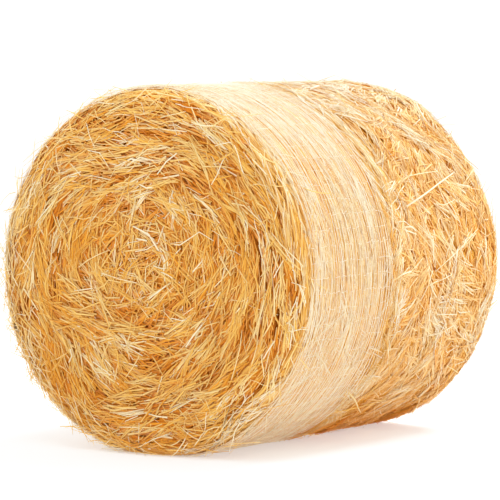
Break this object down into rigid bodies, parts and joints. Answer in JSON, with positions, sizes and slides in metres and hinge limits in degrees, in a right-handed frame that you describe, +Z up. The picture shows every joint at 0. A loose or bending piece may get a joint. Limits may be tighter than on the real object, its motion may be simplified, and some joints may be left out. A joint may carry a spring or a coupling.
{
  "type": "round hay bale",
  "caption": "Cylindrical bale of wound dry stalks lying on its side, with a wide band of pale net pulled tight round one half and loose straw on the other.",
  "frame": {"origin": "under the middle of the bale's box, on the surface that it rests on", "axes": "+Y along the roll's axis, from the face beside the net band to the loose straw's face, and +Z up"},
  "size_m": [1.1818, 1.241, 1.1409],
  "materials": {
    "straw": "dry golden stalks, matt with a faint sheen on each stalk",
    "net": "fine knitted net of pale flat threads over pressed straw"
  },
  "bodies": {
    "root": {"straw_roll": "straw", "net_wrap": "net"}
  },
  "joints": []
}
